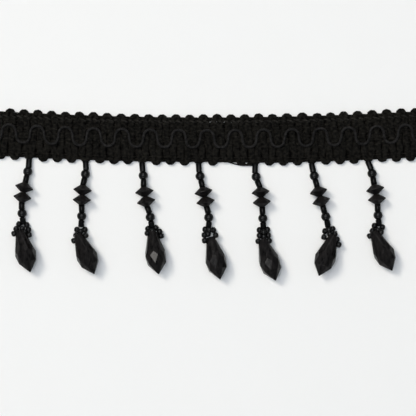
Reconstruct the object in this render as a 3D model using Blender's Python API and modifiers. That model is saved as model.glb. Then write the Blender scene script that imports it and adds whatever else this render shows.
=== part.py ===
"""Beaded fringe: a scalloped gimp braid with a scroll cord on its face and seven beaded drops.

The trim lies face up on a flat surface. The origin is the centre of the braid's flat back,
+X runs along the trim, +Y towards the braid's upper edge and +Z up, out of its face.
"""

import math
from collections import namedtuple

import bmesh
import bpy
from mathutils import Matrix, Vector
from mathutils.geometry import interpolate_bezier

MM = 0.001
UP = Vector((0, 0, 1))

# Driving sizes of the braid
LEG_PITCH = 3.125 * MM          # from one leg of the zigzag gimp to the next
LEG_COUNT = 61
LOOP_PITCH = 2 * LEG_PITCH      # each edge loop joins two legs
LOOP_DEPTH = 1.4 * MM           # how far the edge dips between two loops
DROP_PITCH = 4 * LOOP_PITCH     # a drop hangs in the place of every fourth lower loop
DROP_COUNT = 7
MIDDLE_DROP_X = -1.5 * LEG_PITCH
HALF_LENGTH = LEG_COUNT * LEG_PITCH / 2
UPPER_EDGE_Y = 11.4 * MM        # crests of the upper loops, at the middle of the trim
END_RISE = 2.9 * MM             # the trim lies in a shallow arc, with its ends this much higher
VALLEY_DEPTH = 0.6 * MM         # of the gaps between the legs
ROOT_INSET = 0.7 * MM           # a drop's thread draws the edge in by this much
GAP = 0.3 * MM                  # left between pieces that touch on the real trim
FLOOR_CLEARANCE = 0.02 * MM

# Crest to crest width of the braid, which is a little fuller on the right
Width = namedtuple("Width", "along across")
WIDTHS = (
    Width(-100 * MM, 22.6 * MM),
    Width(0 * MM, 22.6 * MM),
    Width(30 * MM, 23.2 * MM),
    Width(100 * MM, 23.2 * MM),
)

# The braid's section from an edge inwards: a foot, the widest line, a loop row, then the legs
Row = namedtuple("Row", "inset height dip")
EDGE_ROWS = (
    Row(0.40 * MM, 0.00 * MM, "none"),
    Row(0.00 * MM, 1.10 * MM, "none"),
    Row(0.55 * MM, 2.00 * MM, "loop"),
    Row(1.60 * MM, 2.45 * MM, "loop"),
    Row(2.90 * MM, 2.45 * MM, "leg"),
    Row(3.80 * MM, 2.05 * MM, "leg"),      # pressed down by the row of chain stitches
    Row(4.90 * MM, 2.40 * MM, "leg"),
)
BRAID_TOP = 2.45 * MM

# Across one leg: a gap, then the two shoulders of a flattened round cord
LEG_STATIONS = ((0.0, 0.0), (0.3, 1.0), (0.7, 1.0))

# The scroll cord, which winds along the face in round bends with short upright flanks
SCROLL_PERIOD = DROP_PITCH / 2
SCROLL_SWING = 3.8 * MM
SCROLL_RADIUS = 0.55 * MM
SCROLL_BELOW_EDGE = 10.9 * MM
SCROLL_CREST_X = -1.0 * MM
SCROLL_POINTS = 12              # in one period
SCROLL_BACKSET = 0.062          # of a period: how far the flanks are drawn upright

# The string of each drop: thread, bead, bugle and hole sizes
THREAD_RADIUS = 0.4 * MM
HOLE_RADIUS = 0.75 * MM
BUGLE_RADIUS = 1.2 * MM
BUGLE_MARGIN = 0.35 * MM
ROUND_RADIUS = 2.0 * MM
LOZENGE_RADIUS = 4.0 * MM
LOZENGE_END_RADIUS = 0.9 * MM
LOZENGE_END_GAP = 0.21 * MM      # from a lozenge's end to its joint
STRING_SIDES = 8
ROUND_STEPS = 10
LOZENGE_STEPS = 10

# Beads down a drop, from joint to joint of its thread, and how high the next joint lies
Bead = namedtuple("Bead", "kind part length next_height")
ROOT_HEIGHT = 1.25 * MM
STRING = (
    Bead("bugle", "", 3.4 * MM, 1.75 * MM),
    Bead("round", "round_upper", 3.9 * MM, 2.30 * MM),
    Bead("bugle", "", 3.4 * MM, 3.86 * MM),
    Bead("lozenge", "lozenge_upper", 4.4 * MM, 4.16 * MM),
    Bead("lozenge", "lozenge_lower", 4.4 * MM, 3.86 * MM),
    Bead("bugle", "", 3.4 * MM, 2.30 * MM),
    Bead("round", "round_lower", 3.9 * MM, 1.75 * MM),
    Bead("bugle", "", 2.1 * MM, 1.25 * MM),
)

# How each drop lies: its leans are degrees from straight down, positive towards +X.
# The first column lists one lean for each bead of the string, top to bottom, then come the
# seed bead collar, how far its loop reaches past its middle, and the faceted teardrop. The last
# column is the teardrop's roll about its own axis, in degrees, positive with its -X side lifted.
Drop = namedtuple("Drop", "beads collar reach teardrop roll")
DROPS = (
    Drop((-3, -11, -10, -13, -8, -3, 4, 8), -6, 2.6 * MM, 15, 2),
    Drop((5, -10, -12, -5, -3, 0, -2, -6), -3, 2.9 * MM, 23, -3),
    Drop((5, 6, 1, 8, 12, 19, 10, 8), 7, 1.5 * MM, 9, 15),
    Drop((4, 12, 13, 12, 11, 16, 5, -6), 11, 3.9 * MM, 13, 9),
    Drop((-2, 16, 22, 7, 6, 4, 3, 4), 2, 4.3 * MM, 18, 14),
    Drop((11, 14, 14, 15, 17, 18, 16, 12), 12, 3.4 * MM, -20, 1),
    Drop((22, 12, 7, 12, 8, 3, 6, 8), -14, 2.2 * MM, 25, -10),
)

# The collar: seed beads on a loop of thread that runs through the teardrop's cross hole
LOOP_THREAD_RADIUS = 0.33 * MM
LOOP_RADIUS = 3.0 * MM
LOOP_HALF_PIN = 2.3 * MM        # half of the straight stretch through the teardrop
LOOP_SHOULDER = 2.55 * MM       # how far the loop runs sideways before it turns down
LOOP_SWAY = 1.65 * MM           # how far out, and how far above the hole, it turns in again
LOOP_LIFT = 1.95 * MM
LOOP_POINTS = 48                # along each side
LOOP_SIDES = 6
SEED_RADIUS = 1.2 * MM
SEED_WAIST = 0.5 * MM
SEED_LENGTH = 1.75 * MM
FIRST_SEED = 2.15 * MM          # along the loop from the string's end

# The faceted teardrop: rings of corners, each turned half a step from the one before
Facets = namedtuple("Facets", "above_tip radius turned")
TEARDROP_SIDES = 8
TEARDROP_HOLE = 16.6 * MM       # above the tip
TEARDROP_RINGS = (
    Facets(18.4 * MM, 1.15 * MM, 0),
    Facets(16.9 * MM, 1.85 * MM, 0),
    Facets(10.5 * MM, 4.45 * MM, 1),
    Facets(8.6 * MM, 4.70 * MM, 0),
    Facets(4.8 * MM, 4.15 * MM, 1),
)
TEARDROP_NOSE_UP = math.radians(6)
CROSS_HOLE_RADIUS = 0.66 * MM
CUTTER_SIDES = 8


def principled(name, colour, roughness):
    """A plain Principled material."""
    material = bpy.data.materials.new(name)
    material.use_nodes = True
    shader = material.node_tree.nodes["Principled BSDF"]
    shader.inputs["Base Color"].default_value = (*colour, 1)
    shader.inputs["Roughness"].default_value = roughness
    shader.inputs["Metallic"].default_value = 0
    return material


def add_object(name, mesh, collection, material=None, smooth=False):
    """Link a named object that shows a mesh."""
    item = bpy.data.objects.new(name, mesh)
    collection.objects.link(item)
    if material and not mesh.materials:
        mesh.materials.append(material)
    if smooth:
        mesh.shade_smooth()
        mesh.set_sharp_from_angle(angle=math.radians(40))
    return item


def skin_rings(name, rings, closed=False):
    """Skin a run of like rings; cap its two ends, or join the last ring to the first."""
    mesh = bpy.data.meshes.new(name)
    work = bmesh.new()
    rows = [[work.verts.new(point) for point in ring] for ring in rings]
    pairs = list(zip(rows, rows[1:]))
    if closed:
        pairs.append((rows[-1], rows[0]))
    else:
        work.faces.new(rows[0])
        work.faces.new(rows[-1])
    count = len(rows[0])
    for near, far in pairs:
        for i in range(count):
            j = (i + 1) % count
            work.faces.new((near[i], near[j], far[j], far[i]))
    bmesh.ops.recalc_face_normals(work, faces=work.faces)
    work.to_mesh(mesh)
    work.free()
    return mesh


def round_ring(centre, along, radius, sides):
    """Points of a circle square to a direction that is never upright."""
    across = along.cross(UP).normalized()
    over = across.cross(along).normalized()
    angles = [2 * math.pi * i / sides for i in range(sides)]
    return [centre + radius * (math.cos(a) * across + math.sin(a) * over) for a in angles]


def plan_direction(lean):
    """The way a piece points in plan, from its lean off straight down."""
    angle = math.radians(lean)
    return Vector((math.sin(angle), -math.cos(angle), 0))


def upper_edge(x):
    """Y of the upper loops' crests, along the shallow arc."""
    return UPPER_EDGE_Y + END_RISE * (x / HALF_LENGTH) ** 2


def braid_width(x):
    """Crest to crest width at a place along the trim."""
    for near, far in zip(WIDTHS, WIDTHS[1:]):
        if x <= far.along:
            share = (x - near.along) / (far.along - near.along)
            return near.across + share * (far.across - near.across)
    return WIDTHS[-1].across


def lower_edge(x):
    """Y of the lower loops' crests."""
    return upper_edge(x) - braid_width(x)


def drop_x(index):
    """X of a drop's root, for index 0 to DROP_COUNT - 1."""
    return MIDDLE_DROP_X + (index - DROP_COUNT // 2) * DROP_PITCH


def loop_phase(x, offset):
    """Place within an edge loop, from -0.5 at one notch to 0 at the crest and 0.5 at the next."""
    steps = (x - MIDDLE_DROP_X) / LOOP_PITCH - offset
    return steps - round(steps)


def lower_dip(x):
    """How far the lower edge lies in from its crests: a notch, or a drop's drawn-in root."""
    drop_steps = (x - MIDDLE_DROP_X) / DROP_PITCH
    from_drop = abs(drop_steps - round(drop_steps)) * DROP_PITCH
    inset = LOOP_DEPTH * (1 - math.cos(math.pi * loop_phase(x, 0)))
    if from_drop < LOOP_PITCH / 2:
        inset = max(inset, ROOT_INSET)
    return inset


def upper_dip(x):
    """How far the upper edge lies in from its crests."""
    return LOOP_DEPTH * (1 - math.cos(math.pi * loop_phase(x, 0.5)))


def braid_section(x, leg_share):
    """One closed section of the braid, square to X: over the face, then along the flat back."""
    edges = (
        (upper_edge(x) - upper_dip(x), -1, loop_phase(x, 0.5)),
        (lower_edge(x) + lower_dip(x), 1, loop_phase(x, 0)),
    )
    sides = []
    for edge_y, inwards, phase in edges:
        side = []
        for row in EDGE_ROWS:
            height = row.height
            if row.dip == "leg":
                height -= VALLEY_DEPTH * (1 - leg_share)
            if row.dip == "loop":
                height -= VALLEY_DEPTH * (1 - math.cos(math.pi * phase))
            side.append(Vector((x, edge_y + inwards * row.inset, height)))
        sides.append(side)
    return sides[0] + sides[1][::-1]


def braid_mesh():
    """The gimp braid: flat back, scalloped edges, and its legs as ribs on the face."""
    sections = []
    for leg in range(LEG_COUNT):
        for share, height in LEG_STATIONS:
            sections.append(braid_section(-HALF_LENGTH + (leg + share) * LEG_PITCH, height))
    sections.append(braid_section(HALF_LENGTH, LEG_STATIONS[0][1]))
    return skin_rings("header", sections)


def scroll_curve():
    """The scroll cord as a bevelled curve."""
    curve = bpy.data.curves.new("scroll_cord", "CURVE")
    curve.dimensions = "3D"
    curve.bevel_depth = SCROLL_RADIUS
    curve.bevel_resolution = 1
    curve.use_fill_caps = True
    height = BRAID_TOP + GAP + SCROLL_RADIUS
    whole_turns = math.ceil(HALF_LENGTH / SCROLL_PERIOD) + 1
    route = []
    for step in range(-whole_turns * SCROLL_POINTS, whole_turns * SCROLL_POINTS + 1):
        turn = step / SCROLL_POINTS
        advance = turn + SCROLL_BACKSET * math.sin(4 * math.pi * turn)
        x = SCROLL_CREST_X + SCROLL_PERIOD * advance
        y = upper_edge(x) - SCROLL_BELOW_EDGE + SCROLL_SWING * math.cos(2 * math.pi * turn)
        if abs(x) < HALF_LENGTH - SCROLL_RADIUS:
            route.append((x, y, height, 1))
    spline = curve.splines.new("POLY")
    spline.points.add(len(route) - 1)
    for point, place in zip(spline.points, route):
        point.co = place
    return curve


def string_joints(index):
    """Joints of a drop's thread, from its root at the braid to the end above the collar."""
    x = drop_x(index)
    root_y = lower_edge(x) + lower_dip(x) - GAP
    joints = [Vector((x, root_y, ROOT_HEIGHT))]
    for bead, lean in zip(STRING, DROPS[index].beads):
        rise = bead.next_height - joints[-1].z
        run = math.sqrt(bead.length ** 2 - rise ** 2)
        joints.append(joints[-1] + run * plan_direction(lean) + rise * UP)
    return joints


def strand_mesh(joints):
    """A drop's thread with its bugle beads on it, as one stepped round solid."""
    segments = [(far - near).normalized() for near, far in zip(joints, joints[1:])]
    rings = []
    for i, joint in enumerate(joints):
        before = segments[max(i - 1, 0)]
        after = segments[min(i, len(segments) - 1)]
        rings.append(round_ring(joint, (before + after).normalized(), THREAD_RADIUS, STRING_SIDES))
        if i < len(STRING) and STRING[i].kind == "bugle":
            start = joint + BUGLE_MARGIN * after
            end = joints[i + 1] - BUGLE_MARGIN * after
            rings.append(round_ring(start, after, THREAD_RADIUS, STRING_SIDES))
            rings.append(round_ring(start, after, BUGLE_RADIUS, STRING_SIDES))
            rings.append(round_ring(end, after, BUGLE_RADIUS, STRING_SIDES))
            rings.append(round_ring(end, after, THREAD_RADIUS, STRING_SIDES))
    return skin_rings("strand", rings)


def turned_profile(name, outline, half_length):
    """The closed half section of a bead with a hole, its outer side running top to bottom."""
    hole = [(HOLE_RADIUS, -half_length), (HOLE_RADIUS, half_length)]
    points = outline + hole
    mesh = bpy.data.meshes.new(name)
    verts = [(radius, 0, height) for radius, height in points]
    edges = [(i, (i + 1) % len(points)) for i in range(len(points))]
    mesh.from_pydata(verts, edges, [])
    return mesh


def turned_bead(name, profile, steps, collection, material, smooth):
    """A bead turned from a profile about its own Z."""
    bead = add_object(name, profile, collection, material)
    screw = bead.modifiers.new("Turned", "SCREW")
    screw.axis = "Z"
    screw.steps = steps
    screw.render_steps = steps
    screw.merge_threshold = 0.00001
    screw.use_smooth_shade = smooth
    return bead


def round_profile():
    """Half section of a round bead."""
    half = ROUND_RADIUS * math.cos(math.asin(HOLE_RADIUS / ROUND_RADIUS)) - FLOOR_CLEARANCE
    start = math.acos(half / ROUND_RADIUS)
    arc = []
    for i in range(5):
        angle = start + (math.pi - 2 * start) * i / 4
        arc.append((ROUND_RADIUS * math.sin(angle), ROUND_RADIUS * math.cos(angle)))
    return turned_profile("round_bead", arc, half)


def lozenge_profile(half_length):
    """Half section of a lozenge bead: two cones that meet at a sharp rim."""
    outline = [
        (LOZENGE_END_RADIUS, half_length),
        (LOZENGE_RADIUS, 0),
        (LOZENGE_END_RADIUS, -half_length),
    ]
    return turned_profile("lozenge_bead", outline, half_length)


def place_along(item, centre, along):
    """Set an object down with its own Z along a direction."""
    item.location = centre
    item.rotation_euler = along.to_track_quat("Z", "Y").to_euler()


def teardrop_blank():
    """The solid facets of a teardrop, with its cross hole's middle at the origin."""
    mesh = bpy.data.meshes.new("teardrop")
    work = bmesh.new()
    work.verts.new((0, 0, -TEARDROP_HOLE))
    step = 2 * math.pi / TEARDROP_SIDES
    for ring in TEARDROP_RINGS:
        for i in range(TEARDROP_SIDES):
            angle = (i + ring.turned / 2) * step
            height = ring.above_tip - TEARDROP_HOLE
            work.verts.new((ring.radius * math.cos(angle), ring.radius * math.sin(angle), height))
    bmesh.ops.convex_hull(work, input=work.verts)
    bmesh.ops.recalc_face_normals(work, faces=work.faces)
    work.to_mesh(mesh)
    work.free()
    return mesh


def drilled_teardrop(cutters):
    """The teardrop's mesh once its cross hole is cut along X."""
    blank = add_object("teardrop_blank", teardrop_blank(), cutters)
    bpy.ops.mesh.primitive_cylinder_add(
        vertices=CUTTER_SIDES,
        radius=CROSS_HOLE_RADIUS,
        depth=4 * TEARDROP_RINGS[1].radius,
        rotation=(0, math.pi / 2, 0),
    )
    drill = bpy.context.object
    drill.name = "teardrop_drill"
    for owner in drill.users_collection:
        owner.objects.unlink(drill)
    cutters.objects.link(drill)
    cut = blank.modifiers.new("Cross hole", "BOOLEAN")
    cut.operation = "DIFFERENCE"
    cut.solver = "EXACT"
    cut.object = drill
    for item in (blank, drill):
        item.hide_render = True
        item.display_type = "WIRE"
    graph = bpy.context.evaluated_depsgraph_get()
    return bpy.data.meshes.new_from_object(blank.evaluated_get(graph))


def teardrop_turn(lean, roll):
    """Turn of a teardrop that lies on its belly with its nose a little up, rolled on its axis."""
    down = math.cos(TEARDROP_NOSE_UP) * plan_direction(lean) + math.sin(TEARDROP_NOSE_UP) * UP
    across = down.cross(UP).normalized()
    over = (-down).cross(across)
    lie = Matrix((across, over, -down)).transposed()
    return lie @ Matrix.Rotation(math.radians(roll), 3, "Z")


def collar_side(top, side_step, corner, outwards, down):
    """Half of the collar's thread loop, from its top round to the teardrop's hole."""
    leave = top + LOOP_SHOULDER * side_step
    arrive = corner + LOOP_SWAY * outwards - LOOP_LIFT * down
    leave.z = top.z
    arrive.z = top.z
    return interpolate_bezier(top, leave, arrive, corner, LOOP_POINTS)


def point_along(path, distance):
    """Point and direction at a distance along a run of points."""
    for near, far in zip(path, path[1:]):
        length = (far - near).length
        if distance <= length:
            return near.lerp(far, distance / length), (far - near).normalized()
        distance -= length
    return path[-1].copy(), (path[-1] - path[-2]).normalized()


def seeded_rings(path):
    """Rings of one side of the collar: bare thread, then seed beads as round swellings."""
    length = sum((far - near).length for near, far in zip(path, path[1:]))
    stations = [(FIRST_SEED - 0.5 * SEED_LENGTH, LOOP_THREAD_RADIUS)]
    middle = FIRST_SEED
    while middle + 0.5 * SEED_LENGTH < length - GAP:
        stations.append((middle - 0.25 * SEED_LENGTH, SEED_RADIUS))
        stations.append((middle + 0.25 * SEED_LENGTH, SEED_RADIUS))
        stations.append((middle + 0.5 * SEED_LENGTH, SEED_WAIST))
        middle += SEED_LENGTH
    rings = []
    for distance, radius in stations:
        centre, along = point_along(path, distance)
        rings.append((centre, along, radius))
    return rings


def collar_mesh(index, end, hole):
    """Seed bead collar: one closed loop from the string's end through the teardrop's hole."""
    drop = DROPS[index]
    across = plan_direction(drop.collar).cross(UP)
    pin = teardrop_turn(drop.teardrop, drop.roll).col[0]
    down = plan_direction(drop.teardrop)
    top = end + (GAP + LOOP_THREAD_RADIUS) * plan_direction(drop.collar)
    rings = [round_ring(top, across, LOOP_THREAD_RADIUS, LOOP_SIDES)]
    entry = hole + LOOP_HALF_PIN * pin
    leave = hole - LOOP_HALF_PIN * pin
    for centre, along, radius in seeded_rings(collar_side(top, across, entry, pin, down)):
        rings.append(round_ring(centre, along, radius, LOOP_SIDES))
    rings.append(round_ring(entry, -(pin - down).normalized(), LOOP_THREAD_RADIUS, LOOP_SIDES))
    rings.append(round_ring(leave, -(pin + down).normalized(), LOOP_THREAD_RADIUS, LOOP_SIDES))
    way_back = seeded_rings(collar_side(top, -across, leave, -pin, down))
    for centre, along, radius in reversed(way_back):
        rings.append(round_ring(centre, -along, radius, LOOP_SIDES))
    return skin_rings("seed_collar", rings, closed=True)


def add_drop(index, shapes, looks, collection):
    """One beaded drop: strand, round and lozenge beads, seed collar and teardrop."""
    number = index + 1
    drop = DROPS[index]
    joints = string_joints(index)
    add_object(f"strand_{number}", strand_mesh(joints), collection, looks["strand"], smooth=True)
    for bead, near, far in zip(STRING, joints, joints[1:]):
        if bead.kind != "bugle":
            item = turned_bead(
                f"{bead.part}_{number}",
                shapes[bead.kind],
                ROUND_STEPS if bead.kind == "round" else LOZENGE_STEPS,
                collection,
                looks[bead.kind],
                bead.kind == "round",
            )
            place_along(item, (near + far) / 2, far - near)

    turn = teardrop_turn(drop.teardrop, drop.roll)
    loop_length = GAP + LOOP_THREAD_RADIUS + LOOP_RADIUS + drop.reach
    hole = joints[-1] + loop_length * plan_direction(drop.collar)
    hole.z = FLOOR_CLEARANCE - min((turn @ vert.co).z for vert in shapes["teardrop"].vertices)
    teardrop = add_object(f"teardrop_{number}", shapes["teardrop"], collection, looks["teardrop"])
    teardrop.matrix_world = Matrix.Translation(hole) @ turn.to_4x4()

    collar = collar_mesh(index, joints[-1], hole)
    add_object(f"seed_collar_{number}", collar, collection, looks["seeds"], smooth=True)


def build_fringe():
    """Build every piece of the trim."""
    for item in list(bpy.data.objects):
        bpy.data.objects.remove(item, do_unlink=True)
    fringe = bpy.data.collections.new("Beaded fringe")
    cutters = bpy.data.collections.new("Cutters")
    bpy.context.scene.collection.children.link(fringe)
    bpy.context.scene.collection.children.link(cutters)
    looks = {
        "braid": principled("black_gimp_braid", (0.012, 0.011, 0.010), 0.9),
        "scroll": principled("black_scroll_cord", (0.020, 0.018, 0.018), 0.7),
        "strand": principled("black_bugles_on_thread", (0.010, 0.010, 0.010), 0.2),
        "round": principled("black_round_beads", (0.010, 0.010, 0.010), 0.15),
        "lozenge": principled("black_lozenge_beads", (0.010, 0.010, 0.010), 0.15),
        "seeds": principled("black_seed_beads", (0.010, 0.010, 0.010), 0.2),
        "teardrop": principled("black_faceted_teardrops", (0.012, 0.012, 0.012), 0.1),
    }

    header = braid_mesh()
    add_object("header", header, fringe, looks["braid"])
    scroll = scroll_curve()
    scroll.materials.append(looks["scroll"])
    fringe.objects.link(bpy.data.objects.new("scroll_cord", scroll))

    lozenge = next(bead for bead in STRING if bead.kind == "lozenge")
    shapes = {
        "round": round_profile(),
        "lozenge": lozenge_profile(lozenge.length / 2 - LOZENGE_END_GAP),
        "teardrop": drilled_teardrop(cutters),
    }
    for index in range(DROP_COUNT):
        add_drop(index, shapes, looks, fringe)


build_fringe()
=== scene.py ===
# %% [markdown]
# # A black beaded fringe
# The trim is a gimp braid with a scroll cord on its face, and beaded drops hang from its lower
# edge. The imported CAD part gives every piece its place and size. Each step below makes one piece
# or finish at its real size, in metres: +X runs along the trim, +Y towards its upper edge and
# +Z out of its face.

# %% Load the frame
import math
import random
from collections import namedtuple

import bmesh
import bpy
from mathutils import Matrix, Vector


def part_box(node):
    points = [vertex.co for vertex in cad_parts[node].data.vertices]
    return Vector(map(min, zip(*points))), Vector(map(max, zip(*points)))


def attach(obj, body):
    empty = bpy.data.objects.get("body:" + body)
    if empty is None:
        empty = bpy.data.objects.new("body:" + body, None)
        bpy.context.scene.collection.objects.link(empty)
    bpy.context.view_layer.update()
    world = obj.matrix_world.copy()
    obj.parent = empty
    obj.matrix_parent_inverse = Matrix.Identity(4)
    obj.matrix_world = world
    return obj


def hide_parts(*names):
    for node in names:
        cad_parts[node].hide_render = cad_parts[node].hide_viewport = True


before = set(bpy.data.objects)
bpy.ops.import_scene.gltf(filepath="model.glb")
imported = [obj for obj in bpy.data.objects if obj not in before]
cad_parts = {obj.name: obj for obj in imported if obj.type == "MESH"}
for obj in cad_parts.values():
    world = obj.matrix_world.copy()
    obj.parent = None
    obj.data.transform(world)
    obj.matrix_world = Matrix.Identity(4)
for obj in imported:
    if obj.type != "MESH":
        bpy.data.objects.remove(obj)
MM = 0.001
UP = Vector((0, 0, 1))
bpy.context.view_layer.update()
print("CAD nodes:", len(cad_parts))

# %% [markdown]
# ## Sums on sockets
# A node tree is easier to read as sums than as a list of nodes and links. `Wire` holds one output
# socket, and Python's own signs add the Math nodes. `Bench` adds every other node: its kind, then
# its settings, then what goes into its sockets.


# %% Wires
class Wire:
    """An output socket that takes part in sums."""

    def __init__(self, bench, socket):
        self.bench = bench
        self.socket = socket

    def __add__(self, other):
        return self.bench.math("ADD", self, other)

    def __radd__(self, other):
        return self.bench.math("ADD", other, self)

    def __sub__(self, other):
        return self.bench.math("SUBTRACT", self, other)

    def __rsub__(self, other):
        return self.bench.math("SUBTRACT", other, self)

    def __mul__(self, other):
        return self.bench.math("MULTIPLY", self, other)

    def __rmul__(self, other):
        return self.bench.math("MULTIPLY", other, self)

    def __truediv__(self, other):
        return self.bench.math("DIVIDE", self, other)

    def __pow__(self, other):
        return self.bench.math("POWER", self, other)

    def __abs__(self):
        return self.bench.math("ABSOLUTE", self)


# %% The bench
class Bench:
    """Adds nodes to one tree."""

    def __init__(self, tree):
        self.tree = tree

    def feed(self, node, values):
        """Link the wires to a node's sockets, and set the sockets that get a plain value."""
        for key, value in values.items():
            if isinstance(value, Wire):
                self.tree.links.new(value.socket, node.inputs[key])
            else:
                node.inputs[key].default_value = value

    def add(self, kind, settings=None, sockets=None, output=0):
        """Add a node, set it, feed its sockets and return the wire of one output."""
        node = self.tree.nodes.new(kind)
        for name, value in (settings or {}).items():
            setattr(node, name, value)
        self.feed(node, sockets or {})
        return Wire(self, node.outputs[output])

    def math(self, operation, *values):
        """A Math node."""
        return self.add("ShaderNodeMath", {"operation": operation}, dict(enumerate(values)))

    def vector(self, operation, *values, output="Vector"):
        """A Vector Math node."""
        settings = {"operation": operation}
        return self.add("ShaderNodeVectorMath", settings, dict(enumerate(values)), output)

    def stretch(self, direction, length):
        """A vector times a number."""
        sockets = {"Vector": direction, "Scale": length}
        return self.add("ShaderNodeVectorMath", {"operation": "SCALE"}, sockets)

    def parts(self, vector):
        """The X, Y and Z of a vector."""
        first = self.add("ShaderNodeSeparateXYZ", {}, {"Vector": vector})
        return [Wire(self, socket) for socket in first.socket.node.outputs]

    def winding(self, along, pitch, cosine, sine):
        """A wave from -1 to 1 that winds round a cord, once in each pitch of its length."""
        turn = 2 * math.pi * along / pitch
        return self.math("SINE", turn) * cosine + self.math("COSINE", turn) * sine

    def capture(self, geometry, **wires):
        """Keep values with a geometry's points; returns the geometry and the kept wires."""
        node = self.tree.nodes.new("GeometryNodeCaptureAttribute")
        self.tree.links.new(geometry.socket, node.inputs["Geometry"])
        for name, wire in wires.items():
            kind = "VECTOR" if wire.socket.type == "VECTOR" else "FLOAT"
            node.capture_items.new(kind, name)
            self.tree.links.new(wire.socket, node.inputs[name])
        kept = [Wire(self, node.outputs[name]) for name in wires]
        return Wire(self, node.outputs["Geometry"]), *kept


# %% [markdown]
# ## Geometry trees
# Cords, stitches and strung beads repeat or follow a path, so Geometry Nodes make them. A tree
# has named inputs for its sizes.


# %% Start a tree and run it
def new_tree(name, inputs):
    """A geometry tree with named inputs, given as label to (socket type, value)."""
    tree = bpy.data.node_groups.new(name, "GeometryNodeTree")
    tree.interface.new_socket("Geometry", in_out="INPUT", socket_type="NodeSocketGeometry")
    tree.interface.new_socket("Geometry", in_out="OUTPUT", socket_type="NodeSocketGeometry")
    for label, (kind, value) in inputs.items():
        socket = tree.interface.new_socket(label, in_out="INPUT", socket_type=kind)
        if value is not None:
            socket.default_value = value
    bench = Bench(tree)
    source = tree.nodes.new("NodeGroupInput")
    given = {label: Wire(bench, source.outputs[label]) for label in ["Geometry", *inputs]}
    return bench, given


def end_tree(bench, geometry, material):
    """Close a tree with its instances made real and its material set."""
    real = bench.add("GeometryNodeRealizeInstances", {}, {"Geometry": geometry})
    dressed = bench.add("GeometryNodeSetMaterial", {}, {"Geometry": real, "Material": material})
    sink = bench.tree.nodes.new("NodeGroupOutput")
    bench.feed(sink, {"Geometry": dressed})
    return bench.tree


def new_object(name, mesh):
    """An object in the scene that holds a mesh."""
    item = bpy.data.objects.new(name, mesh)
    bpy.context.scene.collection.objects.link(item)
    return item


def plain_result(item):
    """The mesh of an object with its modifiers applied; the object itself is removed."""
    graph = bpy.context.evaluated_depsgraph_get()
    mesh = bpy.data.meshes.new_from_object(item.evaluated_get(graph), depsgraph=graph)
    bpy.data.objects.remove(item)
    return mesh


def grow(name, start, tree, values):
    """Run a tree on a starting mesh and return a new object that holds the plain result."""
    holder = new_object(name + "_start", start)
    modifier = holder.modifiers.new("Tree", "NODES")
    modifier.node_group = tree
    for item in tree.interface.items_tree:
        if item.in_out == "INPUT" and item.name in values:
            modifier[item.identifier] = values[item.name]
    mesh = plain_result(holder)
    mesh.name = name
    print(name, "triangles:", sum(len(face.vertices) - 2 for face in mesh.polygons))
    return new_object(name, mesh)


# %% [markdown]
# ## The wound cord tree
# Gimp yarn, scroll cord and thread are all cords: a core with finer threads wound round it. The
# tree turns a chain of edges into a smooth curve, sweeps a ring along it and then sets every
# point of the ring itself. That way a cord can be wider than it is high, and the winding can
# stand up as a fine spiral ridge. The attributes "along" and "around" go to the material.


# %% The wound cord tree
def wound_cord_tree():
    """Geometry tree that sweeps a flattened, ridged cord along chains of edges."""
    bench, given = new_tree("Wound cord", {
        "Sides": ("NodeSocketInt", 10),
        "Ring spacing": ("NodeSocketFloat", 0.2 * MM),
        "Ridge height": ("NodeSocketFloat", 0.05 * MM),
        "Ridge pitch": ("NodeSocketFloat", 0.6 * MM),
        "Squareness": ("NodeSocketFloat", 0.8),
        "Material": ("NodeSocketMaterial", None),
    })
    curve = bench.add("GeometryNodeMeshToCurve", {}, {"Mesh": given["Geometry"]})
    smooth = bench.add(
        "GeometryNodeCurveSplineType", {"spline_type": "CATMULL_ROM"}, {"Curve": curve})
    rings = bench.add(
        "GeometryNodeResampleCurve", {"mode": "LENGTH"},
        {"Curve": smooth, "Length": given["Ring spacing"]})
    level = bench.add("GeometryNodeSetCurveNormal", {"mode": "Z_UP"}, {"Curve": rings})
    path, middle, side, ahead, length = bench.capture(
        level,
        middle=bench.add("GeometryNodeInputPosition"),
        side=bench.add("GeometryNodeInputNormal"),
        ahead=bench.add("GeometryNodeInputTangent"),
        length=bench.add("GeometryNodeSplineParameter", output="Length"))
    ring = bench.add(
        "GeometryNodeCurvePrimitiveCircle", {},
        {"Resolution": given["Sides"], "Radius": MM})
    tube = bench.add(
        "GeometryNodeCurveToMesh", {},
        {"Curve": path, "Profile Curve": ring, "Fill Caps": True})
    over = bench.vector("CROSS_PRODUCT", ahead, side)
    place = bench.add("GeometryNodeInputPosition")
    out = bench.vector("NORMALIZE", bench.vector("SUBTRACT", place, middle))
    cosine = bench.vector("DOT_PRODUCT", out, side, output="Value")
    sine = bench.vector("DOT_PRODUCT", out, over, output="Value")
    ridge = given["Ridge height"] * bench.winding(length, given["Ridge pitch"], cosine, sine)
    offsets = []
    for name, part, direction in (("width", cosine, side), ("depth", sine, over)):
        size = bench.add("GeometryNodeInputNamedAttribute", {"data_type": "FLOAT"}, {"Name": name})
        squared = bench.math("SIGN", part) * abs(part) ** given["Squareness"]
        offsets.append(bench.stretch(direction, squared * (size / 2) + part * ridge))
    point = bench.vector("ADD", middle, bench.vector("ADD", *offsets))
    shaped = bench.add("GeometryNodeSetPosition", {}, {"Geometry": tube, "Position": point})
    around = bench.add("ShaderNodeCombineXYZ", {}, {"X": cosine, "Y": sine})
    for label, kind, wire in (("along", "FLOAT", length), ("around", "FLOAT_VECTOR", around)):
        shaped = bench.add(
            "GeometryNodeStoreNamedAttribute", {"data_type": kind},
            {"Geometry": shaped, "Name": label, "Value": wire})
    soft = bench.add("GeometryNodeSetShadeSmooth", {}, {"Geometry": shaped})
    return end_tree(bench, soft, given["Material"])


cord_tree = wound_cord_tree()
print("nodes in the cord tree:", len(cord_tree.nodes))

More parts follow.
